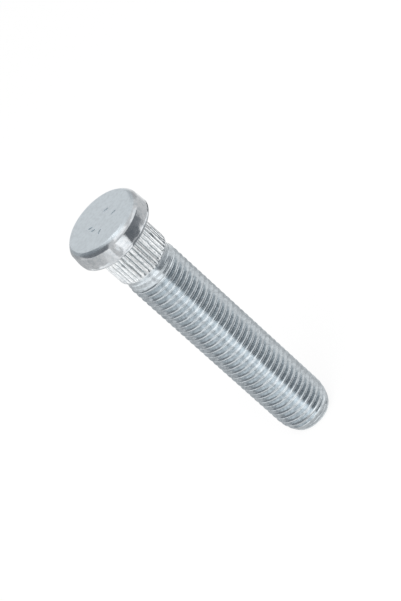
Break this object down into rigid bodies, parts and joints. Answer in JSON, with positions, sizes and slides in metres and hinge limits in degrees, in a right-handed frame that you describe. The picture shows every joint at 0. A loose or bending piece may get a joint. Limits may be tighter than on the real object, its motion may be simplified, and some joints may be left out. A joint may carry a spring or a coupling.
{
  "type": "wheel stud",
  "caption": "Press-in wheel stud: a round flat head, a straight-serrated shoulder that bites into a hub, and a long threaded shank with a rounded tip.",
  "frame": {"origin": "centre of the flat end of the threaded tip, which the stud stands on", "axes": "+Z along the stud's axis, from the tip up to the head; the stud is round, so X and Y are free"},
  "size_m": [0.018, 0.018, 0.0676],
  "materials": {
    "zinc_plated_steel": "bright bluish zinc plate on cold-formed steel"
  },
  "bodies": {
    "root": {"wheel_stud": "zinc_plated_steel"}
  },
  "joints": []
}
